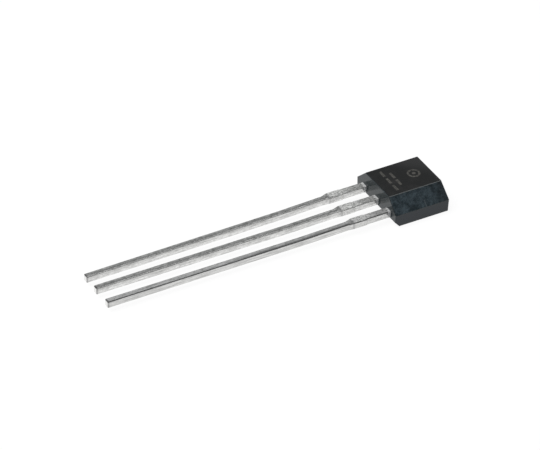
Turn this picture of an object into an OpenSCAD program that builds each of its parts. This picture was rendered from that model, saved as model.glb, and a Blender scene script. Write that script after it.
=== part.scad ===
// Three-lead hall effect sensor in a flat single-in-line package.
// It lies on its back face: +X runs from the lead tips to the head of the body, +Y runs
// across the leads, +Z is the marked face, and the origin is on the back face under the
// middle of the body. All sizes are in millimetres.

/* [Moulded body] */
// Width of the body across the leads, at the parting line
body_w = 4.05; // [3.9:0.01:4.3]
// Length of the body along the leads, from the foot of the lead end to the head end
body_l = 3.19; // [3:0.01:3.4]
// Thickness of the body, from the back face to the marked face
body_t = 1.48; // [1.4:0.01:1.7]
// Height of the parting line above the back face
parting_z = 0.735; // [0.65:0.005:0.85]
// Width that each long chamfer takes off the marked face
chamfer_w = 0.81; // [0.6:0.01:0.9]
// Lean of each end of the front half, over its height
front_end_lean = 0.03; // [0.01:0.005:0.08]
// Lean of each long side of the back half, over its height
back_side_lean = 0.045; // [0.02:0.005:0.15]
// Lean of the back half at the head end, over its height
back_head_lean = 0.02; // [0.01:0.005:0.1]
// Lean of the back half at the lead end, from its foot up to the parting line
foot_lean = 0.01; // [0.01:0.005:0.06]
// Height of the bevel that undercuts the lead end, below the leads
undercut_h = 0.3; // [0.1:0.01:0.32]
// Depth of the undercut at the back face
undercut_l = 0.26; // [0.05:0.01:0.3]
// Radius of the moulded edges
edge_r = 0.04; // [0.02:0.01:0.08]

/* [Mould marks] */
// Diameter of the ejector pin mark in the back face
ejector_d = 1.0; // [0.6:0.05:1.2]
// Depth of the ejector pin mark
ejector_depth = 0.04; // [0.01:0.01:0.08]
// Distance of the ejector pin mark's centre from the head end
ejector_inset = 0.78; // [0.7:0.01:0.9]
// Width of the gate scar on the head end
gate_w = 0.9; // [0.5:0.05:1.4]
// Height of the gate scar above the parting line
gate_h = 0.16; // [0.08:0.01:0.3]
// How far the gate scar stands out of the head end
gate_proud = 0.03; // [0.01:0.01:0.06]

/* [Leads] */
// Distance between the middles of neighbouring leads
lead_pitch = 1.27; // [1.22:0.01:1.32]
// Length of each lead outside the body
lead_l = 16.22; // [12:0.01:18]
// Width of a lead beyond its stub
lead_w = 0.35; // [0.3:0.01:0.42]
// Thickness of a lead
lead_t = 0.4; // [0.35:0.01:0.45]
// Radius of a lead's long edges under the tin
lead_edge_r = 0.07; // [0.03:0.01:0.1]
// Width of a lead where it leaves the body
root_w = 0.45; // [0.38:0.01:0.5]
// Distance from the body to the stub of the trimmed tie between the leads
stub_offset = 1.37; // [0.8:0.01:2]
// Length of the stub
stub_l = 0.75; // [0.4:0.05:1]
// Width of a lead at its stub
stub_w = 0.52; // [0.46:0.01:0.6]
// Length of the shoulder that narrows from the stub to the lead
shoulder_l = 0.35; // [0.2:0.05:0.6]

/* [Set of the leads] */
// Drop of a lead along its shoulder
shoulder_drop = 0.035; // [0:0.005:0.06]
// Further drop of a lead beyond its shoulder
bend_drop = 0.05; // [0:0.005:0.08]
// Length over which the further drop happens
bend_l = 2.6; // [0.8:0.1:3]
// Toe-in of the supply lead at its tip, towards the middle lead
supply_toe_in = 0.16; // [0:0.01:0.3]
// Width of the rolled edge round the sheared tip of each lead
tip_edge = 0.04; // [0.01:0.01:0.06]

/* [Leadframe inside the body] */
// Length of the outer leads' bond posts, along the leads
post_l = 0.7; // [0.5:0.05:0.8]
// Width of the outer leads' bond posts, across the leads
post_w = 0.78; // [0.6:0.02:0.8]
// Depth of the posts behind the lead end of the body
post_inset = 0.39; // [0.34:0.01:0.45]
// Diameter of the hole that locks each post in the moulding
lock_d = 0.26; // [0.16:0.02:0.3]
// Margin of the die paddle round the die
paddle_margin = 0.17; // [0.1:0.01:0.2]
// Width of the middle lead's neck to the paddle
neck_w = 0.34; // [0.28:0.01:0.4]
// Width of the paddle's tie bar, cut off at the head end
tie_w = 0.5; // [0.3:0.05:0.7]
// How far the cut tie bar stands out of the head end
tie_proud = 0.02; // [0.01:0.01:0.05]

/* [Hall die] */
// Length of the die along the leads
die_l = 1.15; // [0.9:0.05:1.2]
// Width of the die across the leads
die_w = 0.92; // [0.7:0.02:1]
// Thickness of the die
die_t = 0.215; // [0.15:0.005:0.25]
// Distance from the hall element to the head end of the body
element_inset = 1.44; // [1.38:0.01:1.5]
// Thickness of the adhesive under the die
attach_t = 0.02; // [0.01:0.005:0.03]
// Width of the adhesive's fillet round the die
attach_fillet = 0.06; // [0.02:0.01:0.09]

/* [Bond wires] */
// Diameter of the gold wire
wire_d = 0.025; // [0.02:0.001:0.035]
// Diameter of the ball on the die
ball_d = 0.075; // [0.06:0.005:0.09]
// Thickness of the squashed ball
ball_t = 0.02; // [0.012:0.001:0.03]
// Height of a wire's loop over the die
loop_h = 0.16; // [0.12:0.01:0.2]
// Length of the stitch on the post
stitch_l = 0.07; // [0.04:0.01:0.1]
// Thickness of the stitch
stitch_t = 0.012; // [0.008:0.001:0.018]
// Distance of the die's bond pads from the die's edge
pad_inset = 0.11; // [0.08:0.01:0.16]
// Distance between neighbouring bond pads, across the die
pad_pitch = 0.3; // [0.2:0.01:0.34]

/* [Hidden] */

// How far a post reaches past its lead, away from the middle
POST_OUTSET = 0.08;
// Place of a stitch along its post, from the lead end, as a share of the post's length
STITCH_ALONG = 0.62;
// Distance of a stitch from its post's inner edge
STITCH_MARGIN = 0.12;
// Least radius of the corners of a lead's cut end
TIP_EDGE_R = 0.01;
ARC_STEPS = 6;
WIRE_SIDES = 8;
WIRE_STEPS = 10;

// Places along X
head_end = body_l / 2;
lead_end = -body_l / 2;
lead_wall = lead_end + foot_lean;
post_x = lead_end + post_inset;
element_x = head_end - element_inset;
pad_x = element_x - die_l / 2 + pad_inset;

// Levels along Z: the leadframe's front face lies on the parting line
frame_z = parting_z;
frame_back_z = frame_z - lead_t;
die_z = frame_z + attach_t;
die_top_z = die_z + die_t;

// Sizes that follow from the others
paddle_l = die_l + 2 * paddle_margin;
paddle_w = die_w + 2 * paddle_margin;
paddle_x = element_x - paddle_l / 2;
post_y = lead_pitch + root_w / 2 + POST_OUTSET - post_w;
stitch_x = post_x + post_l * STITCH_ALONG;
stitch_y = post_y + STITCH_MARGIN;
neck_mid_x = (post_x + paddle_x) / 2;

// The body's faces, each with a point on it and the direction that it faces
side_y = body_w / 2;
front_h = body_t - parting_z;
wall_h = parting_z - undercut_h;
MARKED_FACE = [[0, 0, body_t], [0, 0, 1]];
CHAMFER = [[0, side_y, parting_z], [0, front_h, chamfer_w]];
FRONT_HEAD = [[head_end, 0, parting_z], [front_h, 0, front_end_lean]];
FRONT_WALL = [[lead_wall, 0, parting_z], [-front_h, 0, front_end_lean]];
BACK_SIDE = [[0, side_y, parting_z], [0, parting_z, -back_side_lean]];
BACK_HEAD = [[head_end, 0, parting_z], [parting_z, 0, -back_head_lean]];
BACK_WALL = [[lead_end, 0, undercut_h], [-wall_h, 0, foot_lean]];
UNDERCUT = [[lead_end, 0, undercut_h], [-undercut_h, 0, -undercut_l]];
BACK_FACE = [[0, 0, 0], [0, 0, -1]];

CASE_COLOUR = "#2c2d30";
TIN_COLOUR = "#b8b9b7";
DIE_COLOUR = "#626a75";
ADHESIVE_COLOUR = "#d2cfc6";
GOLD_COLOUR = "#e0b44a";

function unit(v) = v / norm(v);

// The arc that rounds corner b of the outline a, b, c.
function corner_arc(a, b, c, r) =
    let (
        to_a = unit(a - b),
        to_c = unit(c - b),
        half = acos(to_a * to_c) / 2,
        centre = b + unit(to_a + to_c) * r / sin(half),
        start = b + to_a * r / tan(half) - centre,
        end = b + to_c * r / tan(half) - centre,
        angle = atan2(start.y, start.x),
        turn = (atan2(end.y, end.x) - angle + 540) % 360 - 180
    )
    [for (i = [0:ARC_STEPS])
        centre + r * [cos(angle + turn * i / ARC_STEPS), sin(angle + turn * i / ARC_STEPS)]];

// An outline with each corner rounded to its own radius, 0 for a sharp corner.
function rounded(outline, radii) =
    let (n = len(outline))
    [for (i = [0:n - 1])
        each radii[i] > 0
            ? corner_arc(outline[(i + n - 1) % n], outline[i], outline[(i + 1) % n], radii[i])
            : [outline[i]]];

// A closed mesh through rings of equal length, capped at both ends.
module loft(rings) {
    n = len(rings[0]);
    last = (len(rings) - 1) * n;
    polyhedron(
        points = [for (ring = rings) each ring],
        faces = [
            [for (i = [0:n - 1]) i],
            for (k = [0:len(rings) - 2], i = [0:n - 1])
                each [
                    [k * n + i, (k + 1) * n + i, (k + 1) * n + (i + 1) % n],
                    [k * n + i, (k + 1) * n + (i + 1) % n, k * n + (i + 1) % n],
                ],
            [for (i = [n - 1:-1:0]) last + i],
        ]
    );
}

// A point on the edge in which two faces meet.
function meeting_point(a, b) =
    let (along = cross(a[1], b[1]))
    ((a[0] * a[1]) * cross(b[1], along) + (b[0] * b[1]) * cross(along, a[1])) / (along * along);

// Everything behind two faces, with the edge between them rounded.
module rounded_wedge(face_a, face_b) {
    normal_a = unit(face_a[1]);
    normal_b = unit(face_b[1]);
    along = unit(cross(normal_a, normal_b));
    tilt = acos(along.z);
    turn = atan2(along.y, along.x);
    u = [cos(tilt) * cos(turn), cos(tilt) * sin(turn), -sin(tilt)];
    v = [-sin(turn), cos(turn), 0];
    a = [normal_a * u, normal_a * v];
    b = [normal_b * u, normal_b * v];
    reach = body_w + body_l;
    translate(meeting_point(face_a, face_b))
        rotate([0, tilt, turn])
            linear_extrude(2 * reach, center = true)
                polygon(rounded(
                    [[0, 0], (a * (a * b) - b) * reach, -(a + b) * reach, (b * (a * b) - a) * reach],
                    [edge_r, 0, 0, 0]
                ));
}

// Half of the body, between two levels: what lies behind all the faces whose edges are given.
module body_half(from_z, to_z, middle_edges, side_edges) {
    intersection() {
        translate([0, 0, (from_z + to_z) / 2])
            cube([2 * body_l, 2 * body_w, to_z - from_z], center = true);
        intersection_for(edge = middle_edges)
            rounded_wedge(edge[0], edge[1]);
        intersection_for(edge = side_edges)
            intersection() {
                rounded_wedge(edge[0], edge[1]);
                mirror([0, 1, 0])
                    rounded_wedge(edge[0], edge[1]);
            }
    }
}

// Rough rectangle where the moulding compound was broken off at the gate.
module gate_scar() {
    translate([0, gate_w / 2, parting_z])
        rotate([90, 0, 0])
            linear_extrude(gate_w)
                polygon([
                    [head_end - edge_r, 0], [head_end + gate_proud, 0],
                    [head_end + gate_proud / 2, gate_h], [head_end - edge_r, gate_h],
                ]);
}

module ejector_mark() {
    translate([head_end - ejector_inset, 0, -ejector_depth])
        cylinder(d = ejector_d, h = 2 * ejector_depth, $fn = 64);
}

module body_shape() {
    difference() {
        union() {
            body_half(
                parting_z, body_t,
                [[MARKED_FACE, FRONT_HEAD], [MARKED_FACE, FRONT_WALL]],
                [[MARKED_FACE, CHAMFER], [CHAMFER, FRONT_HEAD], [CHAMFER, FRONT_WALL]]
            );
            body_half(
                0, parting_z,
                [[BACK_FACE, BACK_HEAD], [BACK_FACE, UNDERCUT], [UNDERCUT, BACK_WALL]],
                [
                    [BACK_FACE, BACK_SIDE], [BACK_SIDE, BACK_HEAD], [BACK_SIDE, UNDERCUT],
                    [BACK_SIDE, BACK_WALL],
                ]
            );
            gate_scar();
        }
        ejector_mark();
    }
}

// Outline of a lead's section at distance x, width w, shifted by y and z and drawn in by inset.
function lead_ring(x, w, y, z, inset = 0) =
    let (
        side = w / 2 - inset,
        face = lead_t / 2 - inset,
        outline = [[-side, -face], [side, -face], [side, face], [-side, face]],
        r = max(lead_edge_r - inset, TIP_EDGE_R)
    )
    [for (p = rounded(outline, [r, r, r, r])) [-x, y - p.x, z + p.y]];

// The lead from inside the wall to its tip, with its stub, its shoulder and its set.
module lead_shank(toe_in) {
    shoulder_x = stub_offset + stub_l + shoulder_l;
    free_l = lead_l - shoulder_x;
    stub_ramp = (stub_w - root_w) / 2;
    bend_toe = toe_in * bend_l / free_l;
    translate([lead_end, 0, frame_z - lead_t / 2])
        loft([
            lead_ring(-post_inset, root_w, 0, 0),
            lead_ring(stub_offset, root_w, 0, 0),
            lead_ring(stub_offset + stub_ramp, stub_w, 0, 0),
            lead_ring(stub_offset + stub_l, stub_w, 0, 0),
            lead_ring(shoulder_x, lead_w, 0, -shoulder_drop),
            lead_ring(shoulder_x + bend_l, lead_w, bend_toe, -shoulder_drop - bend_drop),
            lead_ring(lead_l - tip_edge, lead_w, toe_in, -shoulder_drop - bend_drop),
            lead_ring(lead_l, lead_w, toe_in, -shoulder_drop - bend_drop, tip_edge),
        ]);
}

// A stamped plate of the leadframe with its front face on the parting line.
module frame_plate() {
    translate([0, 0, frame_back_z])
        linear_extrude(lead_t)
            children();
}

// Lead with a bond post, on the +Y side: the other outer lead is its mirror image.
module outer_lead(toe_in) {
    translate([0, lead_pitch, 0])
        lead_shank(-toe_in);
    frame_plate()
        difference() {
            translate([post_x, post_y])
                square([post_l, post_w]);
            translate([post_x + post_l / 2, lead_pitch])
                circle(d = lock_d, $fn = 48);
        }
}

module supply_lead() {
    color(TIN_COLOUR)
        outer_lead(supply_toe_in);
}

module output_lead() {
    color(TIN_COLOUR)
        mirror([0, 1, 0])
            outer_lead(0);
}

// Middle lead, necked down and then widened into the paddle that carries the die.
module ground_lead() {
    neck_x = post_x - edge_r;
    tie_x = element_x + paddle_l / 2 - edge_r;
    color(TIN_COLOUR) {
        lead_shank(0);
        frame_plate() {
            translate([neck_x, -neck_w / 2])
                square([paddle_x + edge_r - neck_x, neck_w]);
            translate([paddle_x, -paddle_w / 2])
                square([paddle_l, paddle_w]);
            translate([tie_x, -tie_w / 2])
                square([head_end + tie_proud - tie_x, tie_w]);
        }
    }
}

module die_attach() {
    color(ADHESIVE_COLOUR)
        translate([
            element_x - die_l / 2 - attach_fillet, -die_w / 2 - attach_fillet, frame_z,
        ])
            cube([die_l + 2 * attach_fillet, die_w + 2 * attach_fillet, attach_t]);
}

module hall_die() {
    color(DIE_COLOUR)
        translate([element_x - die_l / 2, -die_w / 2, die_z])
            cube([die_l, die_w, die_t]);
}

// One ring of a wire in the XZ plane: centre u and z, half sizes across and along its tilt.
function wire_ring(u, z, half_w, half_h, tilt) =
    let (flat = 1 / cos(180 / WIRE_SIDES))
    [for (i = [0:WIRE_SIDES - 1])
        let (
            phi = (i + 0.5) * 360 / WIRE_SIDES,
            rise = half_h * flat * sin(phi)
        )
        [u - sin(tilt) * rise, half_w * flat * cos(phi), z + cos(tilt) * rise]];

function bezier(p, t) =
    (1 - t) ^ 3 * p[0] + 3 * (1 - t) ^ 2 * t * p[1] + 3 * (1 - t) * t ^ 2 * p[2] + t ^ 3 * p[3];

function bezier_way(p, t) =
    (1 - t) ^ 2 * (p[1] - p[0]) + 2 * (1 - t) * t * (p[2] - p[1]) + t ^ 2 * (p[3] - p[2]);

// Gold wire from a ball at the point start on the die to a stitch at the point end.
module bond_wire(start, end) {
    span = norm([end.x - start.x, end.y - start.y]);
    drop = start.z - end.z;
    wire_r = wire_d / 2;
    ball_r = ball_d / 2;
    neck_z = ball_t + wire_r;
    crown_z = loop_h * 4 / 3;
    path = [
        [0, neck_z], [0, crown_z], [span * 0.45, crown_z], [span - stitch_l, wire_r - drop],
    ];
    stitch_z = stitch_t / 2 - drop;
    color(GOLD_COLOUR)
        translate(start)
            rotate([0, 0, atan2(end.y - start.y, end.x - start.x)])
                loft([
                    wire_ring(0, 0, ball_r, ball_r, 90),
                    wire_ring(0, ball_t, ball_r, ball_r, 90),
                    for (i = [0:WIRE_STEPS])
                        let (
                            p = bezier(path, i / WIRE_STEPS),
                            way = bezier_way(path, i / WIRE_STEPS)
                        )
                        wire_ring(p.x, p.y, wire_r, wire_r, atan2(way.y, way.x)),
                    wire_ring(span - stitch_l / 2, stitch_z, wire_d, stitch_t / 2, 0),
                    wire_ring(span, stitch_z, wire_d, stitch_t / 2, 0),
                ]);
}

module supply_wire() {
    bond_wire([pad_x, pad_pitch, die_top_z], [stitch_x, stitch_y, frame_z]);
}

module ground_wire() {
    bond_wire([pad_x, 0, die_top_z], [neck_mid_x, 0, frame_z]);
}

module output_wire() {
    bond_wire([pad_x, -pad_pitch, die_top_z], [stitch_x, -stitch_y, frame_z]);
}

// Everything that the moulding compound was moulded round.
module inserts() {
    supply_lead();
    ground_lead();
    output_lead();
    die_attach();
    hall_die();
    supply_wire();
    ground_wire();
    output_wire();
}

module mould_case() {
    color(CASE_COLOUR)
        difference() {
            body_shape();
            inserts();
        }
}

mould_case();
supply_lead();
ground_lead();
output_lead();
die_attach();
hall_die();
supply_wire();
ground_wire();
output_wire();
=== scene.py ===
"""Looks of a flat three-lead hall effect sensor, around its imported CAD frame.

Places and sizes on the part are in millimetres, in the part's own frame: the leads point to
-X, the marked face looks up, and the output lead lies at -Y. "Near" is the photo's near side,
which is -Y.
"""
import math

import bpy
from mathutils import Matrix, Vector


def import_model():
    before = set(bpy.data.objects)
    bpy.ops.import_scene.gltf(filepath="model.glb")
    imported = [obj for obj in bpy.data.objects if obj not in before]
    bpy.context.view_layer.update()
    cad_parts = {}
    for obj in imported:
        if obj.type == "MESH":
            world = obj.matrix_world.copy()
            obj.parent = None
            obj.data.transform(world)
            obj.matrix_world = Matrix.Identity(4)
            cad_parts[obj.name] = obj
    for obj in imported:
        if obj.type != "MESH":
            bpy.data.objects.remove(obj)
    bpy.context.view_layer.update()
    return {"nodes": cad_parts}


MM = 0.001

# Camera: the point it looks at, the direction from there to it, its distance, its lens and
# the range it draws, in metres
AIM = Vector((-7.565, 0.508, 0.644)) * MM
AZIMUTH_DEG = -28.53
ELEVATION_DEG = 35.88
ROLL_DEG = 0.13
DISTANCE = 200.0 * MM
LENS_MM = 260.4
SENSOR_MM = 36.0
CLIP_START = 0.01
CLIP_END = 20.0

# Lamps: name, azimuth and elevation in degrees, distance and size in metres, radiance
PANELS = (
    ("key", -110, 62, 0.5, 0.35, 4.5),
    ("far_fill", 151, 38, 0.5, 0.30, 0.15),
)
WORLD_COLOUR = (0.96, 0.98, 1.0)
WORLD_STRENGTH = 0.2

# Floor: half its side and its drop below the part in metres, its colour, and how bright it
# is drawn to the camera and in gloss
FLOOR_HALF = 1.5
FLOOR_DROP = 0.002 * MM
FLOOR_COLOUR = (0.8, 0.8, 0.8)
FLOOR_ROUGHNESS = 0.9
FLOOR_SEEN_COLOUR = (0.12, 0.12, 0.12)
FLOOR_GLOW = 0.93
FLOOR_IN_GLOSS = 0.95

# Along X: where the leads leave the body, where their stubs and shoulders end, their tips
WALL_X = -1.585
STUB_X = -3.715
SHOULDER_X = -4.065
TIP_X = -17.815

# Pitch of the leads, how far the supply lead toes in, and the near side of the output lead
LEAD_PITCH = 1.27
TOE_IN = 0.16
OUTPUT_SIDE_Y = -1.445

# Half width of the marked face, its height, and the height of the parting line
FACE_Y = 1.215
FACE_Z = 1.48
PARTING_Z = 0.735

# Plain laser marking on the marked face: (x, y) of the middle of each bar, their half
# length and half width, then a ring round a dot
MARK_BARS = ((-0.86, 0.68), (-0.86, 0.00), (-0.86, -0.68), (-0.46, 0.34), (-0.46, -0.34))
MARK_BAR_HALF = (0.07, 0.25)
MARK_RING = (0.62, 0.0)
MARK_RING_RADIUS = 0.30
MARK_RING_HALF = 0.055
MARK_DOT_HALF = 0.10
MARK_SOFT = 0.02

# Small scuff on the near chamfer: (x, z) of its middle, its half sizes, how they fade out
SCUFF = (0.25, 0.87)
SCUFF_HALF = (0.012, 0.11)
SCUFF_FADE = (0.03, 0.05)

LEAD_NODES = ("supply_lead", "ground_lead", "output_lead")
WIRE_NODES = ("supply_wire", "ground_wire", "output_wire")

WHITE = (1.0, 1.0, 1.0)


# ---------------------------------------------------------------- node helpers

class Nodes:
    """A material's node tree, with short calls to add and join nodes."""

    def __init__(self, name, slot_colour):
        self.material = bpy.data.materials.new(name)
        self.material.use_nodes = True
        self.material.diffuse_color = (*slot_colour, 1.0)
        self.tree = self.material.node_tree
        self.shader = self.tree.nodes["Principled BSDF"]
        self.output = self.tree.nodes["Material Output"]

    def add(self, kind, inputs=None, **settings):
        node = self.tree.nodes.new(kind)
        for key, value in settings.items():
            setattr(node, key, value)
        for key, value in (inputs or {}).items():
            self.feed(node.inputs[key], value)
        return node

    def feed(self, socket, value):
        """Link a socket to the given one, or set its value."""
        if isinstance(value, bpy.types.NodeSocket):
            self.tree.links.new(value, socket)
        else:
            socket.default_value = value

    def surface(self, inputs):
        """Link or set inputs of the material's shader."""
        for name, value in inputs.items():
            self.feed(self.shader.inputs[name], value)

    # Arithmetic on values

    def math(self, operation, a, b=0.0):
        return self.add("ShaderNodeMath", {0: a, 1: b}, operation=operation).outputs[0]

    def plus(self, a, b):
        return self.math("ADD", a, b)

    def minus(self, a, b):
        return self.math("SUBTRACT", a, b)

    def absolute(self, a):
        return self.math("ABSOLUTE", a)

    def rest_of(self, a):
        """What a mask leaves: 1 - a."""
        return self.math("SUBTRACT", 1.0, a)

    def times(self, first, *others):
        for other in others:
            first = self.math("MULTIPLY", first, other)
        return first

    def highest(self, first, *others):
        for other in others:
            first = self.math("MAXIMUM", first, other)
        return first

    # Smooth masks on a value

    def blend(self, value, low, high, at_low, at_high):
        """Smooth change from at_low to at_high as value goes from low to high."""
        inputs = {"Value": value, "From Min": low, "From Max": high}
        inputs.update({"To Min": at_low, "To Max": at_high})
        node = self.add("ShaderNodeMapRange", inputs, interpolation_type="SMOOTHSTEP")
        return node.outputs["Result"]

    def rise(self, value, low, high):
        return self.blend(value, low, high, 0.0, 1.0)

    def fall(self, value, low, high):
        return self.blend(value, low, high, 1.0, 0.0)

    def band(self, value, start, full, still_full, end):
        """1 where value is between full and still_full, and 0 outside start and end."""
        return self.times(self.rise(value, start, full), self.fall(value, still_full, end))

    # Vectors and places

    def vector_math(self, operation, *values):
        inputs = dict(enumerate(values))
        return self.add("ShaderNodeVectorMath", inputs, operation=operation)

    def place(self):
        """Position in the part's own frame, in millimetres."""
        coordinates = self.add("ShaderNodeTexCoord").outputs["Object"]
        scaled = self.vector_math("SCALE", coordinates)
        scaled.inputs["Scale"].default_value = 1 / MM
        return scaled.outputs[0]

    def facing(self):
        """Parts of the surface's own normal: X, Y and Z."""
        return self.split(self.add("ShaderNodeTexCoord").outputs["Normal"])

    def split(self, vector):
        return self.add("ShaderNodeSeparateXYZ", {"Vector": vector}).outputs

    def stretch(self, vector, scale):
        return self.vector_math("MULTIPLY", vector, scale).outputs[0]

    def offset(self, vector, x, y):
        return self.vector_math("SUBTRACT", vector, (x, y, 0.0)).outputs[0]

    def bar_mark(self, place, x, y, half_x, half_y, soft):
        """1 inside a bar on the marked face, fading out over the distance soft."""
        reach = self.vector_math("ABSOLUTE", self.offset(place, x, y))
        parts = self.split(reach.outputs[0])
        beyond_x = self.minus(parts["X"], half_x)
        beyond_y = self.minus(parts["Y"], half_y)
        return self.fall(self.highest(beyond_x, beyond_y), -soft, soft)

    def ring_mark(self, place, x, y, radius, half_w, soft):
        """1 on a ring on the marked face, fading out over the distance soft."""
        flat = self.stretch(self.offset(place, x, y), (1.0, 1.0, 0.0))
        length = self.vector_math("LENGTH", flat).outputs["Value"]
        beyond = self.absolute(self.minus(length, radius))
        return self.fall(beyond, half_w - soft, half_w + soft)

    # Colour and texture

    def noise(self, vector, scale, detail=3.0, roughness=0.55):
        inputs = {"Vector": vector, "Scale": scale, "Detail": detail, "Roughness": roughness}
        return self.add("ShaderNodeTexNoise", inputs).outputs["Fac"]

    def ramp(self, factor, *stops):
        """Colour ramp; a stop is (position, colour)."""
        node = self.add("ShaderNodeValToRGB", {"Fac": factor})
        for element, (position, colour) in zip(node.color_ramp.elements, stops):
            element.position = position
            element.color = (*colour, 1.0)
        return node.outputs["Color"]

    def mix(self, factor, a, b, blend="MIX"):
        node = self.add("ShaderNodeMix", data_type="RGBA", blend_type=blend)
        self.feed(node.inputs["Factor"], factor)
        for name, value in (("A", a), ("B", b)):
            linked = isinstance(value, bpy.types.NodeSocket)
            self.feed(node.inputs[name], value if linked else (*value, 1.0))
        return node.outputs["Result"]

    def layers(self, base, *pairs):
        """Lay each colour over the last by its mask; a pair is (mask, colour)."""
        for mask, colour in pairs:
            base = self.mix(mask, base, colour)
        return base

    def grey(self, value):
        return self.add("ShaderNodeCombineXYZ", {"X": value, "Y": value, "Z": value}).outputs[0]

    def bump(self, height, distance):
        inputs = {"Height": height, "Distance": distance, "Strength": 1.0}
        return self.add("ShaderNodeBump", inputs).outputs["Normal"]


# ------------------------------------------------------------- moulding compound

# Noise as (scale, detail, roughness)
SPECK_NOISE = (9.0, 3.0, 0.6)
GRAIN_NOISE = (34.0, 3.0, 0.6)
HAZE_NOISE = (1.1, 3.0, 0.6)
CHAMFER_REFLECTION_NOISE = (3.0, 5.0, 0.85)
PATCH_NOISE = (9.0, 3.0, 0.7)

# Ramps as two stops of (position, colour), plain colours, and the slot's own colour
EPOXY_RAMP = ((0.3, (0.002, 0.003, 0.003)), (0.75, (0.006, 0.007, 0.007)))
CHAMFER_REFLECTION_RAMP = ((0.40, (0.010, 0.019, 0.024)), (0.62, (0.066, 0.092, 0.108)))
HAZE_COLOUR = (0.018, 0.018, 0.018)
CORNER_COLOUR = (0.026, 0.027, 0.027)
UPRIGHT_REFLECTION_TINT = (0.001, 0.010, 0.020)
FRONT_REFLECTION_TINT = (0.012, 0.022, 0.026)
SEAM_COLOUR = (0.016, 0.020, 0.021)
EDGE_HIGHLIGHT_COLOUR = (0.20, 0.21, 0.21)
SCUFF_COLOUR = (0.085, 0.105, 0.115)
MARK_COLOUR = (0.120, 0.116, 0.104)
EPOXY_SLOT = (0.03, 0.03, 0.032)

# Where the surface faces: on the marked face, chamfers, walls, lead end and near side
FLAT_Z = (0.985, 0.995)
CHAMFER_Z = (0.60, 0.70, 0.80, 0.86)
WALL_Z = (0.1, 0.2)
FRONT_FACING_X = (-0.9, -0.7)
NEAR_FACING_Y = (-0.4, -0.2)

# Ranges of noise or place, and for a blend also its values at both ends
HAZE_RANGE = (0.42, 0.72)
CORNER_RANGE = (0.6, 2.2)
CHAMFER_REFLECTION_TO_HEAD = (0.5, 1.5, 1.0, 0.55)
EDGE_HIGHLIGHT_GRAIN = (0.3, 0.7, 0.6, 1.0)
MARK_WEAR = (0.34, 0.62, 0.20, 1.0)
EDGE_LINE_DEPTH = (0.018, 0.036)
EDGE_LINE_SOFT = 0.01
SEAM_BELOW = (0.05, 0.03)
SEAM_ABOVE = 0.02

# Roughness, as a range of the speck and the values at both ends, then what changes it
EPOXY_ROUGHNESS = (0.3, 0.7, 0.20, 0.30)
FRONT_SMOOTHER = 0.13
MARK_ROUGHNESS = 0.6
EPOXY_SPECULAR = 0.46
GRAIN_HEIGHT = 0.0015 * MM


def marking(n, place, facing):
    """Mask of the plain bars and the ring that the laser left on the marked face."""
    ring = n.ring_mark(place, *MARK_RING, MARK_RING_RADIUS, MARK_RING_HALF, MARK_SOFT)
    dot = n.ring_mark(place, *MARK_RING, 0.0, MARK_DOT_HALF, MARK_SOFT)
    bars = [n.bar_mark(place, *middle, *MARK_BAR_HALF, MARK_SOFT) for middle in MARK_BARS]
    wear = n.blend(n.noise(place, *PATCH_NOISE), *MARK_WEAR)
    return n.times(n.highest(ring, dot, *bars), wear, n.rise(facing["Z"], *FLAT_Z))


def face_edge(n, parts):
    """1 on a thin line down from each long edge of the marked face, where a highlight is
    painted.
    """
    side = n.absolute(parts["Y"])
    beside = n.rise(side, FACE_Y - EDGE_LINE_SOFT, FACE_Y + EDGE_LINE_SOFT)
    return n.times(beside, n.fall(n.minus(FACE_Z, parts["Z"]), *EDGE_LINE_DEPTH))


def chamfer_scuff(n, parts, facing):
    """1 on the small scuff on the near chamfer."""
    masks = []
    for name, middle, half, fade in zip("XZ", SCUFF, SCUFF_HALF, SCUFF_FADE):
        away = n.absolute(n.minus(parts[name], middle))
        masks.append(n.fall(away, half, half + fade))
    return n.times(*masks, n.fall(facing["Y"], *NEAR_FACING_Y))


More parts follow.
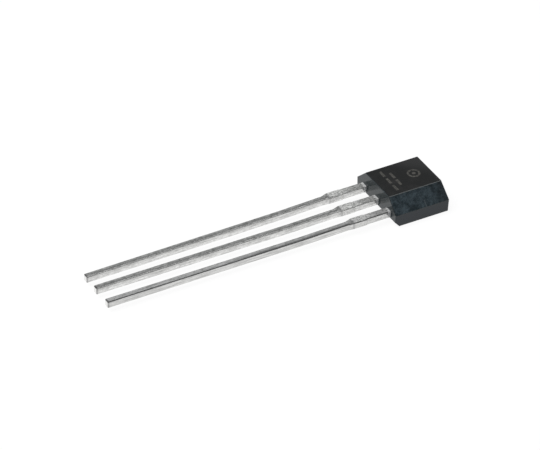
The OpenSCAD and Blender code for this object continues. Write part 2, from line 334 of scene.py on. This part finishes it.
def epoxy_material():
    """Fine black moulding compound with a scuff, a plain laser marking, and painted highlights
    and reflections.
    """
    n = Nodes("moulding_compound", EPOXY_SLOT)
    place = n.place()
    parts = n.split(place)
    facing = n.facing()
    speck = n.noise(place, *SPECK_NOISE)
    grain = n.noise(place, *GRAIN_NOISE)
    haze = n.rise(n.noise(place, *HAZE_NOISE), *HAZE_RANGE)
    corner = n.rise(n.plus(parts["X"], parts["Y"]), *CORNER_RANGE)
    chamfer = n.band(facing["Z"], *CHAMFER_Z)
    # Painted reflection: a blotchy bluish tint on the chamfers
    chamfer_reflection = n.ramp(n.noise(place, *CHAMFER_REFLECTION_NOISE), *CHAMFER_REFLECTION_RAMP)
    upright = n.fall(n.absolute(facing["Z"]), *WALL_Z)
    front = n.fall(facing["X"], *FRONT_FACING_X)
    seam_from, seam_full = (PARTING_Z - below for below in SEAM_BELOW)
    seam = n.band(parts["Z"], seam_from, seam_full, PARTING_Z, PARTING_Z + SEAM_ABOVE)
    mark = marking(n, place, facing)
    base = n.layers(
        n.ramp(speck, *EPOXY_RAMP),
        (haze, HAZE_COLOUR),
        (corner, CORNER_COLOUR),
        # Painted reflection on the chamfers, fading towards the head end
        (n.times(chamfer, n.blend(parts["X"], *CHAMFER_REFLECTION_TO_HEAD)), chamfer_reflection),
        # Painted reflection: a bluish tint on the walls
        (upright, UPRIGHT_REFLECTION_TINT),
        # Painted reflection: a lighter bluish tint on the lead end
        (front, FRONT_REFLECTION_TINT),
        (n.times(seam, upright), SEAM_COLOUR),
        # Painted highlight along the long edges of the marked face, broken up by the grain
        (n.times(face_edge(n, parts), n.blend(grain, *EDGE_HIGHLIGHT_GRAIN)), EDGE_HIGHLIGHT_COLOUR),
        (chamfer_scuff(n, parts, facing), SCUFF_COLOUR),
        (mark, MARK_COLOUR),
    )
    rough = n.minus(n.blend(speck, *EPOXY_ROUGHNESS), n.times(front, FRONT_SMOOTHER))
    n.surface({
        "Base Color": base,
        "Roughness": n.highest(rough, n.times(mark, MARK_ROUGHNESS)),
        "Specular IOR Level": EPOXY_SPECULAR,
        "Normal": n.bump(grain, GRAIN_HEIGHT),
    })
    return n.material


# --------------------------------------------------------------------- tin plate

# Noise as a stretch along X, Y and Z, then (scale, detail, roughness)
LINE_NOISE = ((0.5, 12.0, 12.0), (2.0, 3.0, 0.55))
MOTTLE_NOISE = ((1.0, 2.0, 2.0), (5.0, 4.0, 0.7))
FLECK_NOISE = ((1.5, 3.0, 3.0), (7.0, 2.0, 0.6))

# Ramps as two stops of (position, colour), plain colours, and the slot's own colour
TOP_RAMP = ((0.40, (0.52, 0.53, 0.51)), (0.58, (1.0, 1.0, 0.98)))
SIDE_RAMP = ((0.35, (0.60, 0.60, 0.59)), (0.65, (0.89, 0.89, 0.88)))
CUT_RAMP = ((0.35, (0.78, 0.78, 0.77)), (0.65, (0.88, 0.88, 0.87)))
SHADED_COLOUR = (0.30, 0.30, 0.29)
OUTPUT_TOP_SHEEN_COLOUR = (1.0, 1.0, 0.99)
BESIDE_SHADE_COLOUR = (0.58, 0.58, 0.57)
DIMMED_COLOUR = (0.30, 0.30, 0.30)
OUTPUT_EDGE_SHADE_COLOUR = (0.16, 0.16, 0.16)
GROOVE_SHADE_COLOUR = (0.28, 0.28, 0.28)
RIDGE_COLOUR = (0.30, 0.30, 0.30)
COLLAR_HIGHLIGHT_COLOUR = (0.98, 0.98, 0.98)
ROLLED_EDGE_SHADE_COLOUR = (0.12, 0.12, 0.12)
TIN_SLOT = (0.7, 0.7, 0.69)

# How strongly a layer covers what lies below it, or a mask counts
SHADED_PART = 0.25
BESIDE_SHADE_PART = 0.5
DIMMED_PART = 0.25
DIMMED_OUTER_LOSS = 0.85
OUTPUT_EDGE_SHADE_PART = 0.58
GROOVE_SHADE_PART = 0.7
RIDGE_PART = 0.5
PIT_DEPTH = 0.40
PIT_ON_LEG = 0.6
MOTTLE_TO_COLLAR = 0.2

# Where the surface faces: tops, the rolled edges towards the near side, the cut ends
TOP_Z = (0.5, 0.9)
EDGE_Z = (0.25, 0.45, 0.93, 0.99)
EDGE_Y = (-0.4, -0.1)
CUT_FACING_X = (-0.97, -0.90)

# Places: Y that leaves out all but the output lead, Z of the upper sides, the lit half of
# a top, the ends of the roots, ridges and collars, and the band of painted shade along the
# output lead
OUTER_Y = (-1.0, -0.8)
UPPER_Z = (0.44, 0.50)
LIT_HALF = (-0.06, 0.08)
ROOT_X = (STUB_X - 0.12, STUB_X + 0.06)
RIDGE_X = (STUB_X - 0.14, STUB_X - 0.08, STUB_X - 0.02, STUB_X + 0.03)
COLLAR_X = (WALL_X - 0.07, WALL_X + 0.01)
GROOVE_X = (-12.0, -9.0, SHOULDER_X, STUB_X)
GROOVE_Y = (OUTPUT_SIDE_Y + 0.08, OUTPUT_SIDE_Y + 0.16)
ROLLED_X = (TIP_X + 0.04, TIP_X + 0.12)
TOE_FROM_Y = LEAD_PITCH / 2
TOE_FULL_Y = LEAD_PITCH * 0.6

# Blends: the range of noise, place or facing, then the values at both ends
OUTPUT_TOP_SHEEN = (0.40, 0.60, 0.35, 0.95)
STREAK = (0.38, 0.60, 0.74, 1.04)
PIT_RANGE = (0.34, 0.46)
COLLAR_HIGHLIGHT_FLECK = (0.3, 0.6, 0.3, 0.9)
ROLLED_TO_TOP = (0.2, 0.8, 0.5, 0.55)
ROOT_SHADE_TO_WALL = (-3.3, -2.1, 1.08, 0.62)
ROOT_HIGHLIGHT_AT_WALL = (WALL_X - 0.20, WALL_X - 0.10, 0.0, 0.24)
ROOT_FLECK = (0.3, 0.65, 0.72, 1.16)
ROOT_OUTER_LOSS = 0.18

# How far from metal each place is, as the highest of these, then roughness and relief
MATT_ROOT = 0.7
MATT_COLLAR = 0.85
MATT_OUTER_TOP = (-12.0, -5.0, 0.22, 0.1)
MATT_INNER_EDGE = 0.85
MATT_LIT = 0.12
LEG_ROUGHNESS = (0.3, 0.7, 0.14, 0.26)
MATT_ROUGHER = 0.4
LINE_HEIGHT = 0.0015 * MM


def stretched_noise(n, place, stretch, settings):
    """Noise that is drawn out along X."""
    return n.noise(n.stretch(place, stretch), *settings)


def across_lead(n, parts):
    """Distance from the middle line of the lead that the point lies on, towards +Y."""
    along = n.minus(SHOULDER_X, parts["X"])
    supply = n.rise(parts["Y"], TOE_FROM_Y, TOE_FULL_Y)
    toe = n.times(along, TOE_IN / (SHOULDER_X - TIP_X), supply)
    half = LEAD_PITCH / 2
    shifted = n.plus(n.plus(parts["Y"], toe), half)
    return n.minus(n.math("FLOORED_MODULO", shifted, LEAD_PITCH), half)


class LeadMasks:
    """Places, textures and masks on the leads, for their colour and their finish."""

    def __init__(self, n):
        place = n.place()
        facing = n.facing()
        parts = n.split(place)
        self.x, self.y, self.z = parts["X"], parts["Y"], parts["Z"]
        self.facing_z = facing["Z"]

        # Textures: lines drawn along the strip, mottled plating, and flecks
        self.lines = stretched_noise(n, place, *LINE_NOISE)
        self.mottle = stretched_noise(n, place, *MOTTLE_NOISE)
        self.fleck = stretched_noise(n, place, *FLECK_NOISE)

        # Tops and the rest, the output lead and the rest
        self.top = n.rise(facing["Z"], *TOP_Z)
        self.not_top = n.rest_of(self.top)
        self.outer = n.fall(self.y, *OUTER_Y)
        self.inner = n.rest_of(self.outer)
        self.outer_top = n.times(self.outer, self.top)

        # Wide root by the body, the far half of the tops, the collar at the wall, the edge
        # between top and near side, and the cut end
        self.root = n.rise(self.x, *ROOT_X)
        self.lit = n.highest(n.rise(across_lead(n, parts), *LIT_HALF), self.root)
        near_wall = n.plus(self.x, n.times(self.mottle, MOTTLE_TO_COLLAR))
        self.collar = n.rise(near_wall, *COLLAR_X)
        self.near_edge = n.times(n.band(facing["Z"], *EDGE_Z), n.fall(facing["Y"], *EDGE_Y))
        self.cut = n.fall(facing["X"], *CUT_FACING_X)


def drawn_tone(n, m):
    """Grey that the drawn lines and the pits leave."""
    depth = n.times(n.highest(m.root, n.times(m.top, PIT_ON_LEG)), PIT_DEPTH)
    pit = n.rest_of(n.times(depth, n.fall(m.fleck, *PIT_RANGE)))
    return n.grey(n.times(n.blend(m.lines, *STREAK), pit))


def root_tone(n, m):
    """Grey of the root tops, with painted shade towards the body and a painted highlight right
    at its wall.
    """
    tone = n.times(n.blend(m.x, *ROOT_SHADE_TO_WALL), n.rest_of(n.times(m.outer, ROOT_OUTER_LOSS)))
    tone = n.plus(tone, n.blend(m.x, *ROOT_HIGHLIGHT_AT_WALL))
    tone = n.times(tone, n.blend(m.fleck, *ROOT_FLECK))
    return n.mix(n.times(m.root, m.top), WHITE, n.grey(tone))


def tin_colour(n, m):
    """Colour of the plating: the long faces first, then what lies at their ends."""
    shaded = n.times(n.rise(m.z, *UPPER_Z), m.not_top, m.inner, SHADED_PART)
    dimmed = n.times(n.rest_of(m.lit), n.times(m.top, DIMMED_PART))
    dimmed = n.times(dimmed, n.rest_of(n.times(m.outer, DIMMED_OUTER_LOSS)))
    base = n.layers(
        n.ramp(m.mottle, *SIDE_RAMP),
        (m.top, n.ramp(m.mottle, *TOP_RAMP)),
        (shaded, SHADED_COLOUR),
        # Painted sheen: brighter patches on the output lead's tops
        (n.times(m.outer_top, n.blend(m.mottle, *OUTPUT_TOP_SHEEN)), OUTPUT_TOP_SHEEN_COLOUR),
        # Painted shade: the output lead's sides are drawn darker
        (n.times(m.outer, m.not_top, BESIDE_SHADE_PART), BESIDE_SHADE_COLOUR),
        (dimmed, DIMMED_COLOUR),
    )
    base = n.mix(1.0, base, drawn_tone(n, m), "MULTIPLY")
    # Painted shade: a dark line on the edge between the top and the near side of the output
    # lead
    edge_shade = n.times(m.near_edge, n.times(m.outer, OUTPUT_EDGE_SHADE_PART))
    # Painted shade: a dark band along the top of the output lead, by its near side
    groove_shade = n.times(n.fall(m.y, *GROOVE_Y), m.top, n.band(m.x, *GROOVE_X), GROOVE_SHADE_PART)
    to_top = n.blend(m.facing_z, *ROLLED_TO_TOP)
    # Painted shade: a dark band on the rolled edges just before the cut ends
    rolled = n.times(n.fall(m.x, *ROLLED_X), n.rest_of(m.cut), to_top)
    base = n.layers(
        base,
        (edge_shade, OUTPUT_EDGE_SHADE_COLOUR),
        (groove_shade, GROOVE_SHADE_COLOUR),
        (n.times(n.band(m.x, *RIDGE_X), RIDGE_PART), RIDGE_COLOUR),
        # Painted highlight: a bright patchy band on the matt collar where the leads leave the
        # body
        (n.times(m.collar, n.blend(m.fleck, *COLLAR_HIGHLIGHT_FLECK)), COLLAR_HIGHLIGHT_COLOUR),
        (m.cut, n.ramp(m.mottle, *CUT_RAMP)),
        (rolled, ROLLED_EDGE_SHADE_COLOUR),
    )
    return n.mix(1.0, base, root_tone(n, m), "MULTIPLY")


def tin_material():
    """Tin plating: bright and streaked on the legs, matt on top of the roots by the body."""
    n = Nodes("tin_plate", TIN_SLOT)
    m = LeadMasks(n)
    matt = n.highest(
        n.times(m.root, MATT_ROOT, m.top),
        n.times(m.collar, MATT_COLLAR),
        n.times(m.outer_top, n.blend(m.x, *MATT_OUTER_TOP)),
        n.times(m.near_edge, m.inner, MATT_INNER_EDGE),
        n.times(m.lit, m.top, MATT_LIT),
    )
    n.surface({
        "Base Color": tin_colour(n, m),
        "Metallic": n.rest_of(matt),
        "Roughness": n.plus(n.blend(m.mottle, *LEG_ROUGHNESS), n.times(matt, MATT_ROUGHER)),
        "Normal": n.bump(m.lines, LINE_HEIGHT),
    })
    return n.material


# ------------------------------------------------------- inner pieces and the floor

# Inner pieces: colour, metallic, roughness and grain size
GOLD = ((0.83, 0.6, 0.2), 1.0, 0.25, 0.01)
SILICON = ((0.13, 0.15, 0.18), 0.0, 0.12, 0.05)
ADHESIVE = ((0.62, 0.6, 0.55), 0.6, 0.5, 0.02)
GRAIN_LIGHTER = 1.15
GRAIN_RELIEF = 0.02


def plain_material(name, colour, metallic, roughness, grain_mm):
    """Inner piece: one colour with a fine grain."""
    n = Nodes(name, colour)
    grain = n.noise(n.place(), 1 / grain_mm)
    light = tuple(min(1.0, part * GRAIN_LIGHTER) for part in colour)
    n.surface({
        "Base Color": n.mix(grain, colour, light),
        "Metallic": metallic,
        "Roughness": roughness,
        "Normal": n.bump(grain, grain_mm * GRAIN_RELIEF * MM),
    })
    return n.material


def floor_material():
    """Pale table: drawn white to the camera and in gloss, where no shadow falls."""
    n = Nodes("pale_floor", FLOOR_COLOUR)
    n.surface({"Base Color": (*FLOOR_COLOUR, 1.0), "Roughness": FLOOR_ROUGHNESS})
    rays = n.add("ShaderNodeLightPath").outputs
    mirrored = n.highest(rays["Is Glossy Ray"], rays["Is Transmission Ray"])
    seen = n.highest(rays["Is Camera Ray"], n.times(mirrored, FLOOR_IN_GLOSS))
    shade = n.add("ShaderNodeBsdfDiffuse", {"Color": (*FLOOR_SEEN_COLOUR, 1.0)})
    glow = n.add("ShaderNodeEmission", {"Color": (*WHITE, 1.0), "Strength": FLOOR_GLOW})
    white = n.add("ShaderNodeAddShader", {0: shade.outputs[0], 1: glow.outputs[0]})
    lit = n.shader.outputs[0]
    mixed = n.add("ShaderNodeMixShader", {0: seen, 1: lit, 2: white.outputs[0]})
    n.feed(n.output.inputs["Surface"], mixed.outputs[0])
    return n.material


# ------------------------------------------------------------- stage and light

def unit_direction(azimuth_deg, elevation_deg):
    """Direction from the object: azimuth 0 is -Y and 90 is +X."""
    az, el = math.radians(azimuth_deg), math.radians(elevation_deg)
    return Vector((math.sin(az) * math.cos(el), -math.cos(az) * math.cos(el), math.sin(el)))


def add_camera():
    toward = unit_direction(AZIMUTH_DEG, ELEVATION_DEG)
    data = bpy.data.cameras.new("camera")
    data.lens = LENS_MM
    data.sensor_width = SENSOR_MM
    data.clip_start = CLIP_START
    data.clip_end = CLIP_END
    camera = bpy.data.objects.new("camera", data)
    roll = Matrix.Rotation(math.radians(ROLL_DEG), 3, "Z")
    turn = toward.to_track_quat("Z", "Y").to_matrix() @ roll
    camera.matrix_world = Matrix.Translation(AIM + toward * DISTANCE) @ turn.to_4x4()
    bpy.context.scene.collection.objects.link(camera)
    bpy.context.scene.camera = camera


def add_panel(name, azimuth_deg, elevation_deg, distance, size, radiance):
    """Soft square lamp that faces the object and shines at the given radiance."""
    toward = unit_direction(azimuth_deg, elevation_deg)
    data = bpy.data.lights.new(name, "AREA")
    data.shape = "SQUARE"
    data.size = size
    data.energy = radiance * math.pi * size * size
    lamp = bpy.data.objects.new(name, data)
    lamp.rotation_euler = toward.to_track_quat("Z", "Y").to_euler()
    lamp.location = toward * distance
    bpy.context.scene.collection.objects.link(lamp)


def add_floor():
    signs = ((-1, -1), (1, -1), (1, 1), (-1, 1))
    corners = [(x * FLOOR_HALF, y * FLOOR_HALF, 0) for x, y in signs]
    mesh = bpy.data.meshes.new("floor")
    mesh.from_pydata(corners, [], [(0, 1, 2, 3)])
    floor = bpy.data.objects.new("floor", mesh)
    floor.location.z = -FLOOR_DROP
    mesh.materials.append(floor_material())
    bpy.context.scene.collection.objects.link(floor)


def add_world():
    world = bpy.data.worlds.new("studio")
    bpy.context.scene.world = world
    world.use_nodes = True
    background = world.node_tree.nodes["Background"]
    background.inputs["Color"].default_value = (*WORLD_COLOUR, 1.0)
    background.inputs["Strength"].default_value = WORLD_STRENGTH


def dress_nodes(nodes):
    """Give each carried-over CAD node its material."""
    dress = {"mould_case": epoxy_material()}
    dress.update(dict.fromkeys(LEAD_NODES, tin_material()))
    dress.update(dict.fromkeys(WIRE_NODES, plain_material("gold", *GOLD)))
    dress["hall_die"] = plain_material("silicon", *SILICON)
    dress["die_attach"] = plain_material("adhesive", *ADHESIVE)
    for name, material in dress.items():
        slots = nodes[name].data.materials
        slots.clear()
        slots.append(material)


def main():
    scene = bpy.context.scene
    scene.view_settings.view_transform = "Standard"
    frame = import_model()
    add_camera()
    add_world()
    add_floor()
    for panel in PANELS:
        add_panel(*panel)
    dress_nodes(frame["nodes"])


main()
